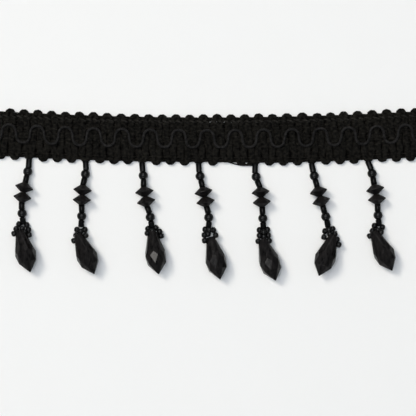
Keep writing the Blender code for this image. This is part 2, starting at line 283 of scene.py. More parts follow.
# %% Cords along paths
CordPoint = namedtuple("CordPoint", "place width depth")


def plain_cord(places, width):
    """A path of cord points that are all round and of one width."""
    return [CordPoint(place, width, width) for place in places]


def cord_start(name, paths):
    """Chains of edges, one for each path of cord points, with their widths and depths."""
    mesh = bpy.data.meshes.new(name)
    edges = []
    count = 0
    for path in paths:
        edges += [(count + i, count + i + 1) for i in range(len(path) - 1)]
        count += len(path)
    points = [point for path in paths for point in path]
    mesh.from_pydata([point.place for point in points], edges, [])
    sizes = {
        "width": [point.width for point in points],
        "depth": [point.depth for point in points],
    }
    for label, values in sizes.items():
        mesh.attributes.new(label, "FLOAT", "POINT").data.foreach_set("value", values)
    return mesh


def grow_cords(name, paths, look, sides, spacing, ridge=0.0, pitch=0.6 * MM, squareness=1.0):
    """Sweep cords along paths; a ridge of some height winds round them at some pitch."""
    return grow(name, cord_start(name + "_paths", paths), cord_tree, {
        "Sides": sides,
        "Ring spacing": spacing,
        "Ridge height": ridge,
        "Ridge pitch": pitch,
        "Squareness": squareness,
        "Material": look,
    })


# %% [markdown]
# ## Yarn and thread finishes
# Rayon gimp yarn is black but not even, and loose fibres make it dull. Its colour also paints a
# little highlight on the ridges of the winding and a little shade in its grooves. The finish reads
# "along" and "around" from the cord, so the fine winding follows every bend. Noise at three scales
# stands for the fibres, for flecks and for whole patches that are greyer than the rest.
# `FinishBench` starts a material and adds what every finish here needs: noise, a tint between two
# colours and a bump.


# %% A bench for finishes
class FinishBench(Bench):
    """The bench of a new material; its spot is the place on the object."""

    def __init__(self, name):
        self.material = bpy.data.materials.new(name)
        self.material.use_nodes = True
        super().__init__(self.material.node_tree)
        self.spot = self.add("ShaderNodeTexCoord", output="Object")

    def noise(self, scale, detail=2.0, place=None):
        """Soft noise from 0 to 1, in Object coordinates unless another place is given."""
        sockets = {"Vector": place or self.spot, "Scale": scale, "Detail": detail}
        return self.add("ShaderNodeTexNoise", {}, sockets, "Fac")

    def tint(self, mask, dark, light):
        """A colour that goes from dark to light with a mask."""
        sockets = {0: mask, 6: (*dark, 1), 7: (*light, 1)}
        return self.add("ShaderNodeMix", {"data_type": "RGBA"}, sockets, 2)

    def relief(self, height, distance, strength):
        """A normal that follows a height."""
        sockets = {"Strength": strength, "Distance": distance, "Height": height}
        return self.add("ShaderNodeBump", {}, sockets, "Normal")

    def finish(self, values):
        """Feed the shader and return the material."""
        self.feed(self.tree.nodes["Principled BSDF"], values)
        return self.material


# %% Yarn finishes
# Noise on the yarn: its scale and detail, and the share by which it lightens the colour
Grain = namedtuple("Grain", "scale detail share")
FIBRES = Grain(2500.0, 3.0, 0.6)
FLECKS = Grain(900.0, 1.0, 2.6)
PATCHES = Grain(160.0, 2.0, 0.7)
# share by which the winding paints highlight on its ridges and shade in its grooves
WINDING_SHADE_SHARE = 0.15
DARKENING = 1.5                 # taken off the sum of the shares
FIBRE_ROUGHNESS = 0.15
WINDING_HEIGHT = 0.5            # against the height of the fibres
YARN_RELIEF = 0.8
YARN_SHINE = 0.10

CordLook = namedtuple("CordLook", "name dark light roughness ply_pitch ply_depth")
CORD_LOOKS = (
    CordLook("gimp_yarn", (0.0008, 0.0007, 0.0006), (0.0112, 0.0102, 0.0084),
             0.70, 0.30 * MM, 0.06 * MM),
    CordLook("scroll_yarn", (0.006, 0.0057, 0.0057), (0.020, 0.019, 0.0185),
             0.48, 0.26 * MM, 0.03 * MM),
    CordLook("sewing_thread", (0.006, 0.0056, 0.0049), (0.025, 0.0233, 0.0205),
             0.60, 0.30 * MM, 0.02 * MM),
    CordLook("warp_thread", (0.0015, 0.0014, 0.0012), (0.0178, 0.0163, 0.0136),
             0.66, 0.30 * MM, 0.02 * MM),
)


def cord_finish(look):
    """A material of fine threads wound round a cord."""
    bench = FinishBench(look.name)
    along = bench.add("ShaderNodeAttribute", {"attribute_name": "along"}, output="Fac")
    around = bench.add("ShaderNodeAttribute", {"attribute_name": "around"}, output="Vector")
    cosine, sine = bench.parts(around)[:2]
    ply = bench.winding(along, look.ply_pitch, cosine, sine)
    fibre, fleck, patch = (
        bench.noise(grain.scale, grain.detail) for grain in (FIBRES, FLECKS, PATCHES))
    # the winding's share paints highlight on its ridges and shade in its grooves
    shares = ply * WINDING_SHADE_SHARE + fibre * FIBRES.share + fleck * FLECKS.share
    mask = shares + patch * PATCHES.share - DARKENING
    return bench.finish({
        "Base Color": bench.tint(mask, look.dark, look.light),
        "Roughness": look.roughness + FIBRE_ROUGHNESS * fibre,
        "Normal": bench.relief(ply * WINDING_HEIGHT + fibre, look.ply_depth, YARN_RELIEF),
        "Specular IOR Level": YARN_SHINE,
    })


cord_looks = {look.name: cord_finish(look) for look in CORD_LOOKS}
print("yarn finishes:", *cord_looks)

# %% [markdown]
# ## How the trim lies
# The heading lies in a shallow arc, a little higher at both ends. Its upper and lower loops both
# follow that arc, and every later piece finds its place from these few measures.

# %% The lie of the heading
LEG_PITCH = 3.125 * MM
LEG_REACH = 30                  # legs each side of the middle one
HALF_LENGTH = (LEG_REACH + 0.5) * LEG_PITCH
UPPER_EDGE_Y = 11.4 * MM
END_RISE = 2.9 * MM
NARROW = 22.6 * MM              # the heading's width in its left half
WIDE = 23.2 * MM                # and at its right end
WIDENING_ENDS_X = 30 * MM
DROP_PITCH = 8 * LEG_PITCH
DROP_COUNT = 7
MIDDLE_DROP_X = -1.5 * LEG_PITCH


def upper_edge(x):
    """Y of the upper loops' crests."""
    return UPPER_EDGE_Y + END_RISE * (x / HALF_LENGTH) ** 2


def lower_edge(x):
    """Y of the lower loops' crests."""
    share = min(max(x / WIDENING_ENDS_X, 0), 1)
    return upper_edge(x) - NARROW - share * (WIDE - NARROW)


def edge_y(x, inset, upper):
    """Y of a line that runs at some inset from an edge."""
    return upper_edge(x) - inset if upper else lower_edge(x) + inset


def drop_x(index):
    """X of a drop's root."""
    return MIDDLE_DROP_X + (index - DROP_COUNT // 2) * DROP_PITCH


def from_drop(x):
    """Distance along the trim to the nearest drop's root."""
    steps = (x - MIDDLE_DROP_X) / DROP_PITCH
    return abs(steps - round(steps)) * DROP_PITCH


print("heading:", round(2 * HALF_LENGTH / MM, 1), "mm long")

# %% [markdown]
# ## The gimp yarn
# One thick yarn zigzags from edge to edge, and its turns are the scallops. A knitted or crocheted
# mesh would be far too heavy, so the yarn is one path: legs that wander a little, drawn together
# in pairs at each end, with a tight turn from leg to leg. It gets thinner in the turns and is
# pressed in where warp threads cross it. A drop pulls its own loop in, and two slack loops beside
# the middle are bridged by a loose strand.

# %% Sizes of the yarn
YARN_WIDTH = 3.24 * MM
YARN_DEPTH = 2.00 * MM
YARN_MIDDLE = 1.36 * MM         # height of a leg's middle line above the table
TURN_WIDTH = 2.25 * MM
TURN_DEPTH = 1.80 * MM
TURN_MIDDLE = 1.18 * MM
TURN_RADIUS = 1.14 * MM
BODY_INSET = 2.2 * MM           # from here in, a leg widens from its turn's size
BODY_REACH = 2.4 * MM           # and this much further in it has its own

# Rows of thread that run along the trim, by their insets from either edge
BAND_INSETS = [inset * MM for inset in (1.62, 2.04, 2.46, 2.88)]
CHAIN_INSET = 3.50 * MM
FIRST_WARP_INSET = 4.45 * MM
WARP_PITCH = 0.95 * MM
WARP_ROWS = 8
WARP_INSETS = [FIRST_WARP_INSET + WARP_PITCH * row for row in range(WARP_ROWS)]

# How rows of thread press the yarn: how far along it, how much flatter and how much narrower
Press = namedtuple("Press", "reach depth width")
CHAIN_PRESS = Press(0.5 * MM, 0.35 * MM, 0.3 * MM)
WARP_PRESS = Press(0.3 * MM, 0.16 * MM, 0)
PINHOLE_LEGS = (0, 6)           # from this leg to that one, light shows between the upper stitches
PINHOLE_NARROWING = 0.25 * MM

# How far the upper loops lie off the lower ones, at places along the trim
Drift = namedtuple("Drift", "along by")
TOP_DRIFT = [Drift(x * MM, by * MM) for x, by in (
    (-96, 1.2), (-70, 0.5), (-35, 0.0), (0, -1.1), (33, -1.8), (48, -0.5), (63, -1.6), (96, -0.8))]

LEG_STEPS = 44
LEG_WANDER = 0.28 * MM          # legs do not lie quite straight
WANDER_TURN = 17                # radians of that wave on one leg
chance = random.Random(7)
wander_phases = [chance.uniform(0, 2 * math.pi) for leg in range(2 * LEG_REACH + 1)]
print("rows of thread from", BAND_INSETS[0] / MM, "to", round(WARP_INSETS[-1] / MM, 2), "mm in")


# %% A leg of the yarn
def eased(share):
    """A share from 0 to 1 that starts and ends softly."""
    return share * share * (3 - 2 * share)


def nearness(place, row, reach):
    """From 1 right at a row to 0 away from it."""
    return math.exp(-((place - row) / reach) ** 2)


def top_drift(x):
    """Sideways drift of the upper loops."""
    for near, far in zip(TOP_DRIFT, TOP_DRIFT[1:]):
        if x <= far.along:
            share = (x - near.along) / (far.along - near.along)
            return near.by + share * (far.by - near.by)
    return TOP_DRIFT[-1].by


def leg_place(number, share):
    """Place on a leg's middle line; share runs from 0 at the lower turn to 1 at the upper."""
    x = number * LEG_PITCH
    pinch = LEG_PITCH / 2 - TURN_RADIUS
    side = 1 if number % 2 == 0 else -1      # even legs turn right below and left above
    lean = -side * pinch * (2 * share - 1) ** 3
    low = lower_edge(x) + TURN_RADIUS + TURN_WIDTH / 2
    high = upper_edge(x) - TURN_RADIUS - TURN_WIDTH / 2
    return Vector((x + lean + eased(share) * top_drift(x), low + share * (high - low), 0))


def leg_point(number, share):
    """A cord point on a leg."""
    place = leg_place(number, share)
    from_top = upper_edge(place.x) - place.y
    from_foot = place.y - lower_edge(place.x)
    inset = min(from_top, from_foot)
    body = eased(min(max((inset - BODY_INSET) / BODY_REACH, 0), 1))
    neck = nearness(inset, CHAIN_INSET, CHAIN_PRESS.reach)
    depth = TURN_DEPTH + body * (YARN_DEPTH - TURN_DEPTH) - CHAIN_PRESS.depth * neck
    width = TURN_WIDTH + body * (YARN_WIDTH - TURN_WIDTH) - CHAIN_PRESS.width * neck
    if PINHOLE_LEGS[0] <= number <= PINHOLE_LEGS[1] and from_top < from_foot:
        width -= PINHOLE_NARROWING * neck
    for row in WARP_INSETS:
        depth -= WARP_PRESS.depth * nearness(inset, row, WARP_PRESS.reach)
    place.z = TURN_MIDDLE + body * (YARN_MIDDLE - TURN_MIDDLE)
    wave = math.sin(wander_phases[number + LEG_REACH] + WANDER_TURN * share)
    place.x += body * LEG_WANDER * wave
    return CordPoint(place, width, depth)


print("width of a leg halfway up:", round(leg_point(0, 0.5).width / MM, 2), "mm")

# %% The turns and the whole path
TURN_STEPS = 8
TURN_FULLNESS = 0.82            # 1 is a round turn; less has fuller shoulders
LOOP_SPREAD = (-0.2, 0.25)      # how much shorter or longer a loop may be, in mm
DROP_PULL = 0.6 * MM            # a drop draws its loop in
SLACK_PULLS = {2: 1.9 * MM, 4: 0.5 * MM}        # two lower loops are drawn in, by leg number
STRAND_HEIGHT = 0.9 * MM

# A strand bridges the two drawn-in loops: its place along the trim and above the lower edge
Bridge = namedtuple("Bridge", "along above width")
STRAND = [Bridge(x * MM, above * MM, width * MM) for x, above, width in (
    (6.0, 2.6, 1.2), (8.5, 1.75, 0.9), (11.1, 0.85, 0.5), (13.6, 0.55, 1.0), (15.2, 0.65, 1.5),
    (16.5, 0.45, 1.0), (17.6, 0.75, 1.6), (19.0, 0.80, 1.6), (20.2, 1.0, 1.1))]


def turn_points(number, upper):
    """Cord points of the turn between one leg and the next."""
    near = leg_place(number, 1.0 if upper else 0.0)
    far = leg_place(number + 1, 1.0 if upper else 0.0)
    centre = (near + far) / 2
    radius = (far - near).length / 2
    reach = radius + chance.uniform(*LOOP_SPREAD) * MM
    if not upper:
        if from_drop(centre.x) < LEG_PITCH:
            reach -= DROP_PULL
        reach -= SLACK_PULLS.get(number, 0)
    points = []
    for step in range(1, TURN_STEPS):
        angle = math.pi * step / TURN_STEPS
        place = centre.copy()
        sideways = math.cos(angle)
        place.x -= radius * math.copysign(abs(sideways) ** TURN_FULLNESS, sideways)
        place.y += (reach if upper else -reach) * math.sin(angle) ** TURN_FULLNESS
        place.z = TURN_MIDDLE
        points.append(CordPoint(place, TURN_WIDTH, TURN_DEPTH))
    return points


def gimp_path():
    """The whole zigzag, from the left end to the right."""
    path = []
    for number in range(-LEG_REACH, LEG_REACH + 1):
        down = number % 2 == 0
        shares = [step / LEG_STEPS for step in range(LEG_STEPS + 1)]
        if down:
            shares.reverse()
        path += [leg_point(number, share) for share in shares]
        if number < LEG_REACH:
            path += turn_points(number, upper=not down)
    return path


def strand_path():
    """The strand along the two drawn-in loops."""
    path = []
    for at in STRAND:
        place = Vector((at.along, lower_edge(at.along) + at.above, STRAND_HEIGHT))
        path.append(CordPoint(place, at.width, at.width))
    return path


gimp = grow_cords(
    "gimp_braid", [gimp_path(), strand_path()], cord_looks["gimp_yarn"],
    sides=12, spacing=0.19 * MM, ridge=0.06 * MM, pitch=0.90 * MM, squareness=0.75)

# %% [markdown]
# ## Warps and chain stitches
# Fine threads run the length of the braid and hold the yarn: each passes over one leg and under
# the next, as in any plain weave. A close band of them ties the loops together near each edge.
# Just inside the upper band a thicker pair swaps sides at every leg, which reads as a row of chain
# stitches, and it opens wider in one slack stretch. The pair near the lower edge is as thin as any
# warp, and the four rows beside it are left out, so there the legs stand clear. All are made as
# waves, so the back of the braid is right as well.

# %% Warp threads
WARP_WIDTH = 0.52 * MM
WARP_WANDER = 0.42 * MM         # a warp's own sideways drift from leg to leg
WANDER_LIFT = 0.3               # share of that drift that also lifts or lowers it
BARE_ROWS = (0, 1, 2, 3)        # left out near the lower edge, where the legs stand clear
BAND_WIDTH = 0.42 * MM
CHAIN_WIDTH = 0.78 * MM
CHAIN_SWAY = 0.40 * MM          # how far each of the pair swings to its side
SLACK_SWAY = 0.60               # share by which the pair opens wider where it is slackest
SLACK_X = 2.5 * MM
SLACK_REACH = 6.0 * MM
OVER = 2.42 * MM                # height of a thread where it lies on a leg
BAND_OVER = 2.10 * MM           # the same in the bands at the edges
UNDER = 0.39 * MM               # and where it runs under a leg
WAVE_STEPS = 10                 # points from one leg to the next
WAVE_ROUNDNESS = 0.55           # 1 is a plain wave; less lies longer on each leg


def warp_path(inset, upper, parity, width, over, sway=0.0, wander=0.0):
    """A thread over one leg and under the next; it may sway between them and wander."""
    places = []
    middle = (over + UNDER) / 2
    swing = (over - UNDER) / 2
    bend = eased(1 - inset / NARROW if upper else inset / NARROW)
    drifts = [chance.uniform(-wander, wander) for leg in range(2 * LEG_REACH + 2)]
    for step in range(2 * LEG_REACH * WAVE_STEPS + 1):
        leg, part = divmod(step, WAVE_STEPS)
        drift = drifts[leg] + part / WAVE_STEPS * (drifts[leg + 1] - drifts[leg])
        turn = step / WAVE_STEPS - LEG_REACH
        wave = math.cos(math.pi * (turn + parity))
        height = middle + swing * math.copysign(abs(wave) ** WAVE_ROUNDNESS, wave)
        x = turn * LEG_PITCH
        place = Vector((x + bend * top_drift(x), 0, height + WANDER_LIFT * drift))
        opening = sway * (1 + SLACK_SWAY * nearness(place.x, SLACK_X, SLACK_REACH))
        side = drift + opening * math.sin(math.pi * (turn + parity))
        place.y = edge_y(place.x, inset + side, upper)
        places.append(place)
    return plain_cord(places, width)


warps = []
chains = []
for upper in (True, False):
    for row, inset in enumerate(BAND_INSETS):
        warps.append(warp_path(inset, upper, row % 2, BAND_WIDTH, BAND_OVER))
    for row, inset in enumerate(WARP_INSETS):
        if upper or row not in BARE_ROWS:
            warps.append(
                warp_path(inset, upper, row % 2, WARP_WIDTH, OVER, wander=WARP_WANDER))
    for parity in (0, 1):
        if upper:
            chains.append(
                warp_path(CHAIN_INSET, upper, parity, CHAIN_WIDTH, OVER, sway=CHAIN_SWAY))
        else:
            warps.append(warp_path(CHAIN_INSET, upper, parity, WARP_WIDTH, OVER))
warp_threads = grow_cords(
    "warp_threads", warps, cord_looks["warp_thread"], sides=6, spacing=0.42 * MM)
chain_stitches = grow_cords(
    "chain_stitches", chains, cord_looks["sewing_thread"], sides=6, spacing=0.42 * MM)

# %% [markdown]
# ## The ground
# A fine flat weave closes the braid behind the yarn, so its gaps look dark and its back is flat
# where it is sewn down. It is a thin strip that follows both edges. Its threads are too fine to
# model, so they are a bump pattern, and its colour paints highlight on their crowns and shade
# between them. In one slack stretch the chain stitches leave small eyelets where the table shows
# through, and those are really cut.

# %% The ground's finish
GROUND_THREAD = 0.4 * MM        # from one thread of the weave to the next
GROUND_DARK = (0.0012, 0.0011, 0.001)
GROUND_LIGHT = (0.006, 0.0055, 0.005)
# how far the tint paints highlight on the threads' crowns and shade between them
WEAVE_SHADE_CONTRAST = 0.4
GROUND_FIBRE_SCALE = 3000.0
GROUND_FIBRE_HEIGHT = 0.5       # against the height of the threads
GROUND_BUMP = 0.08 * MM


def weave_finish():
    """A material of fine black plain weave."""
    bench = FinishBench("ground_weave")
    step = math.pi / GROUND_THREAD
    x, y = bench.parts(bench.spot)[:2]
    threads = bench.math("SINE", x * step) * bench.math("SINE", y * step)
    height = threads + GROUND_FIBRE_HEIGHT * bench.noise(GROUND_FIBRE_SCALE)
    # the colour follows the threads' height: painted highlight on their crowns, painted shade
    # between them
    return bench.finish({
        "Base Color": bench.tint(0.5 + WEAVE_SHADE_CONTRAST * threads, GROUND_DARK, GROUND_LIGHT),
        "Normal": bench.relief(height, GROUND_BUMP, YARN_RELIEF),
        "Roughness": 0.9,
        "Specular IOR Level": 0.05,
    })


ground_look = weave_finish()
print("ground finish:", ground_look.name)

# %% The ground strip and its eyelets
GROUND_INSET = 1.55 * MM
GROUND_LOW = 0.03 * MM          # its back, above the table
GROUND_TOP = 0.30 * MM          # and its face
GROUND_STEPS = 4                # quads to a leg
EYELETS = range(0, 6)           # gaps right of the middle leg
EYELET_RADII = (0.50 * MM, 0.42 * MM)
EYELET_SIDES = 14
CUTTER_LENGTH = 4 * MM


def as_mesh(name, work):
    """A plain mesh of what was made in bmesh."""
    mesh = bpy.data.meshes.new(name)
    work.to_mesh(mesh)
    work.free()
    return mesh


def ground_strip():
    """The ground as a thin closed strip."""
    work = bmesh.new()
    rings = []
    end = LEG_REACH * GROUND_STEPS + GROUND_STEPS // 2
    for step in range(-end, end + 1):
        x = step / GROUND_STEPS * LEG_PITCH
        low = edge_y(x, GROUND_INSET, False)
        high = edge_y(x, GROUND_INSET, True)
        corners = ((low, GROUND_LOW), (high, GROUND_LOW), (high, GROUND_TOP), (low, GROUND_TOP))
        rings.append([work.verts.new((x, y, z)) for y, z in corners])
    for near, far in zip(rings, rings[1:]):
        for i in range(4):
            j = (i + 1) % 4
            work.faces.new((near[i], near[j], far[j], far[i]))
    work.faces.new(rings[0])
    work.faces.new(rings[-1])
    bmesh.ops.recalc_face_normals(work, faces=work.faces)
    mesh = as_mesh("ground", work)
    mesh.materials.append(ground_look)
    return mesh


def eyelet_cutters():
    """Short oval posts where the eyelets are."""
    work = bmesh.new()
    for gap in EYELETS:
        x = (gap + 0.5) * LEG_PITCH
        x += top_drift(x)
        place = Matrix.Translation((x, edge_y(x, CHAIN_INSET, True), 0))
        size = Matrix.Diagonal((*EYELET_RADII, 1, 1))
        bmesh.ops.create_cone(
            work, cap_ends=True, segments=EYELET_SIDES, radius1=1, radius2=1,
            depth=CUTTER_LENGTH, matrix=place @ size)
    return as_mesh("eyelets", work)


def with_cuts(mesh, cutter_mesh):
    """A mesh less the shape of another, as a plain mesh."""
    blank = new_object("blank", mesh)
    cutter = new_object("cutter", cutter_mesh)
    cut = blank.modifiers.new("Cut", "BOOLEAN")
    cut.operation = "DIFFERENCE"
    cut.solver = "EXACT"
    cut.object = cutter
    result = plain_result(blank)
    bpy.data.objects.remove(cutter)
    return result


ground = new_object("ground_weave", with_cuts(ground_strip(), eyelet_cutters()))
print("ground faces:", len(ground.data.polygons))

# %% [markdown]
# ## The scroll cord
# A smoother wrapped cord winds along the face in round bends with short upright flanks. It keeps
# the path of the CAD node, so it lies just on the legs.

# %% The scroll cord
SCROLL_PERIOD = DROP_PITCH / 2
SCROLL_SWING = 3.8 * MM
SCROLL_WIDTH = 1.15 * MM
SCROLL_BELOW_EDGE = 10.9 * MM
SCROLL_CREST_X = -1.0 * MM
SCROLL_BACKSET = 0.062          # share of a period by which the flanks are drawn upright
SCROLL_HEIGHT = 2.95 * MM
SCROLL_STEPS = 24               # points in one wave


def scroll_path():
    """The scroll cord's middle line."""
    places = []
    waves = math.ceil(HALF_LENGTH / SCROLL_PERIOD) + 1
    for step in range(-waves * SCROLL_STEPS, waves * SCROLL_STEPS + 1):
        turn = step / SCROLL_STEPS
        advance = turn + SCROLL_BACKSET * math.sin(4 * math.pi * turn)
        x = SCROLL_CREST_X + SCROLL_PERIOD * advance
        y = upper_edge(x) - SCROLL_BELOW_EDGE + SCROLL_SWING * math.cos(2 * math.pi * turn)
        if abs(x) < HALF_LENGTH - SCROLL_WIDTH / 2:
            places.append(Vector((x, y, SCROLL_HEIGHT)))
    return plain_cord(places, SCROLL_WIDTH)


scroll = grow_cords(
    "scroll_braid", [scroll_path()], cord_looks["scroll_yarn"],
    sides=12, spacing=0.10 * MM, ridge=0.035 * MM, pitch=0.42 * MM)

# %% [markdown]
# ## Bead finishes
# The beads are moulded black plastic. The colour varies in fine streaks, noise on the roughness
# stands for scuffs, and a bump gives the slow waves of a moulded face. A clear glaze over it
# mirrors the lights. Real plastic would also mirror the pale table at its sides, which stay dark
# in these beads. So the glaze fades and the gloss gets rougher where a bead turns away from the
# eye, by Layer Weight. Each kind of bead has its own row of numbers.

# %% Numbers of the bead finishes
GLAZE_FALL = 3.2                # how fast the glaze fades where the bead turns away
GLAZE_ROUGHNESS = 0.10
SCUFF_SCALE = 900.0
SCUFF_DETAIL = 4.0
SCUFF_HEIGHT = 0.15             # against the height of the moulded waves
WAVE_SCALE = 220.0
WAVE_DETAIL = 1.0
WAVE_RELIEF = 0.5
STREAK_SCALE = 1100.0
STREAK_SQUEEZE = (1, 0.3, 1)    # a share below 1 draws the streaks out, here along Y
STREAK_CONTRAST = 2.5
STREAK_DARKENING = 0.75

JET = (0.0005, 0.0005, 0.0005)
JET_LIGHT = (0.0022, 0.0021, 0.0021)
SMOKE = (0.0022, 0.0020, 0.0020)
SMOKE_LIGHT = (0.0150, 0.0134, 0.0134)

# Gloss is the plain roughness; scuffs and rim are what they add to it
BeadLook = namedtuple("BeadLook", "name dark light gloss scuffs waves shine rim glaze")
BEAD_LOOKS = (
    BeadLook("bugle_beads", JET, JET_LIGHT, 0.14, 0.12, 0.02 * MM, 0.06, 0.9, 0.42),
    BeadLook("round_beads", JET, JET_LIGHT, 0.18, 0.12, 0.02 * MM, 0.20, 0.9, 0.5),
    BeadLook("lozenge_beads", SMOKE, SMOKE_LIGHT, 0.12, 0.12, 0.03 * MM, 0.07, 0.9, 0.1),
    BeadLook("seed_beads", JET, JET_LIGHT, 0.16, 0.12, 0.02 * MM, 0.18, 0.9, 0.5),
    BeadLook("teardrop_beads", SMOKE, SMOKE_LIGHT, 0.06, 0.10, 0.26 * MM, 0.085, 0.1, 0.12),
)
print("rows for beads:", len(BEAD_LOOKS))


# %% Bead finishes
def bead_finish(look):
    """A material of glossy moulded plastic, duller where it turns away from the eye."""
    bench = FinishBench(look.name)
    scuff = bench.noise(SCUFF_SCALE, SCUFF_DETAIL)
    wave = bench.noise(WAVE_SCALE, WAVE_DETAIL)
    drawn = bench.vector("MULTIPLY", bench.spot, STREAK_SQUEEZE)
    streak = bench.noise(STREAK_SCALE, place=drawn)
    mask = STREAK_CONTRAST * streak - STREAK_DARKENING
    away = bench.add("ShaderNodeLayerWeight", {}, {"Blend": 0.5}, "Facing")
    glazed = look.glaze - look.glaze * GLAZE_FALL * away
    return bench.finish({
        "Base Color": bench.tint(mask, look.dark, look.light),
        "Roughness": look.gloss + look.scuffs * scuff + look.rim * away * away,
        "Normal": bench.relief(wave + SCUFF_HEIGHT * scuff, look.waves, WAVE_RELIEF),
        "Specular IOR Level": look.shine,
        "Coat Weight": bench.math("MAXIMUM", glazed, 0.0),
        "Coat Roughness": GLAZE_ROUGHNESS,
    })


bead_looks = {look.name: bead_finish(look) for look in BEAD_LOOKS}
print("bead finishes:", *bead_looks)

# %% [markdown]
# ## How each drop lies
# Every drop fell on the table a little differently. The string of eight beads is the same on all:
# each row gives its kind, its length on the thread and the height where its thread ends. A drop's
# row then starts with the leans of its eight beads from straight down, in degrees, as in the CAD
# part. Next come the lean of its collar, how much further the teardrop hangs, and the teardrop's
# lean and roll. The rest says how many seed beads lie on the left and on the right of its neck,
# how far the last one slides along it and how far the side bulges, and where others sit in the
# middle: how far down, and how far to the right.

# %% Tables of the string and the drops
ROOT_INSET = 0.7 * MM
ROOT_HEIGHT = 1.25 * MM
GAP = 0.3 * MM                  # between one CAD node and the next
Bead = namedtuple("Bead", "kind length next_height")
STRING = (
    Bead("first bugle", 3.4 * MM, 1.75 * MM),
    Bead("round", 3.9 * MM, 2.30 * MM),
    Bead("middle bugle", 3.4 * MM, 3.86 * MM),
    Bead("lozenge", 4.4 * MM, 4.16 * MM),
    Bead("lozenge", 4.4 * MM, 3.86 * MM),
    Bead("middle bugle", 3.4 * MM, 2.30 * MM),
    Bead("round", 3.9 * MM, 1.75 * MM),
    Bead("last bugle", 2.1 * MM, 1.25 * MM),
)
Drop = namedtuple("Drop", "leans collar reach teardrop roll left right middle")
Side = namedtuple("Side", "seeds slide bulge")
Seed = namedtuple("Seed", "fall right")
DROPS = (
    Drop((-3, -11, -10, -13, -8, -3, 4, 8), -6, 2.6 * MM, 15, 2,
         Side(3, -1.0 * MM, 0.2 * MM), Side(3, 1.0 * MM, 0.4 * MM),
         [Seed(2.6 * MM, 0), Seed(4.2 * MM, 1.3 * MM)]),
    Drop((5, -10, -12, -5, -3, 0, -2, -6), -3, 2.9 * MM, 23, -3,
         Side(3, 0, -0.5 * MM), Side(2, 0, 0.2 * MM), [Seed(2.7 * MM, 0)]),
    Drop((5, 6, 1, 8, 12, 19, 10, 8), 7, 1.5 * MM, 9, 15,
         Side(2, -1.3 * MM, -0.4 * MM), Side(3, 0.6 * MM, 0.9 * MM),
         [Seed(2.2 * MM, 0), Seed(3.9 * MM, 1.4 * MM)]),
    Drop((4, 12, 13, 12, 11, 16, 5, -6), 11, 3.9 * MM, 13, 9,
         Side(3, -0.9 * MM, 0.4 * MM), Side(2, -2.2 * MM, 0.5 * MM),
         [Seed(1.6 * MM, 0), Seed(3.3 * MM, -0.9 * MM)]),
    Drop((-2, 16, 22, 7, 6, 4, 3, 4), 2, 4.3 * MM, 18, 14,
         Side(3, -1.6 * MM, -0.5 * MM), Side(3, -0.3 * MM, 0),
         [Seed(2.2 * MM, 0), Seed(4.2 * MM, 0)]),
    Drop((11, 14, 14, 15, 17, 18, 16, 12), 12, 3.4 * MM, -20, 1,
         Side(2, 0, 1.2 * MM), Side(4, 1.4 * MM, 0.2 * MM),
         [Seed(2.1 * MM, 0), Seed(4.0 * MM, 0)]),
    Drop((22, 12, 7, 12, 8, 3, 6, 8), -14, 2.2 * MM, 25, -10,
         Side(3, -0.9 * MM, -0.3 * MM), Side(2, 0, -0.2 * MM), [Seed(2.6 * MM, 0)]),
)
print("beads on a string:", len(STRING), "drops:", len(DROPS))


# %% The joints of the drops
def plan_direction(lean):
    """The way a piece points in plan, from its lean off straight down."""
    angle = math.radians(lean)
    return Vector((math.sin(angle), -math.cos(angle), 0))


def string_joints(index):
    """Joints of a drop's thread, from the braid to the end above the collar."""
    x = drop_x(index)
    joints = [Vector((x, lower_edge(x) + ROOT_INSET - GAP, ROOT_HEIGHT))]
    for bead, lean in zip(STRING, DROPS[index].leans):
        rise = bead.next_height - joints[-1].z
        run = math.sqrt(bead.length ** 2 - rise ** 2)
        joints.append(joints[-1] + run * plan_direction(lean) + rise * UP)
    return joints


joints_of = [string_joints(index) for index in range(DROP_COUNT)]
print("joints on a thread:", len(joints_of[0]))

# %% [markdown]
# ## Turned beads
# Round beads, bugles and seed beads are all shapes of turning: half a section, carried round the
# hole. A modelled hole matters, because the thread visibly enters each bead. The section runs
# down the outside and back up through the hole.

# %% Sections of the turned beads
MOUTH_RADIUS = 1.25             # a round bead's mouth, in radii of its hole
MOUTH_DEPTH = 0.4               # and how far it slopes in, in the same radii
CORNER_STEPS = 3
TUBE_MOUTH = 0.3                # share of a tube's wall that slopes into its hole
TUBE_BORE = 0.85                # share of its length that the straight hole has


def turned(name, section, steps, smooth=True):
    """A closed ring shape from a section of (radius, height) points, turned about Z."""
    mesh = bpy.data.meshes.new(name)
    verts = []
    faces = []
    count = len(section)
    for step in range(steps):
        angle = 2 * math.pi * step / steps
        for radius, height in section:
            verts.append((radius * math.cos(angle), radius * math.sin(angle), height))
        here = step * count
        there = (step + 1) % steps * count
        for i in range(count):
            j = (i + 1) % count
            faces.append((here + i, here + j, there + j, there + i))
    mesh.from_pydata(verts, [], faces)
    work = bmesh.new()
    work.from_mesh(mesh)
    bmesh.ops.recalc_face_normals(work, faces=work.faces)
    work.to_mesh(mesh)
    work.free()
    if smooth:
        mesh.shade_smooth()
    return mesh


def round_section(radius, hole, steps):
    """Half section of a round bead with a softened mouth to its hole."""
    start = math.asin(MOUTH_RADIUS * hole / radius)
    arc = []
    for i in range(steps + 1):
        angle = start + (math.pi - 2 * start) * i / steps
        arc.append((radius * math.sin(angle), radius * math.cos(angle)))
    inner = arc[0][1] - MOUTH_DEPTH * hole
    return arc + [(hole, -inner), (hole, inner)]


def tube_section(radius, half, hole, soft):
    """Half section of a short tube with rounded ends."""
    corner = []
    for i in range(CORNER_STEPS + 1):
        angle = math.pi / 2 * i / CORNER_STEPS
        corner.append((radius - soft + soft * math.sin(angle), half - soft + soft * math.cos(angle)))
    foot = [(across, -height) for across, height in reversed(corner)]
    mouth = hole + TUBE_MOUTH * (radius - hole)
    bore = half * TUBE_BORE
    return [(mouth, half), *corner, *foot, (mouth, -half), (hole, -bore), (hole, bore)]


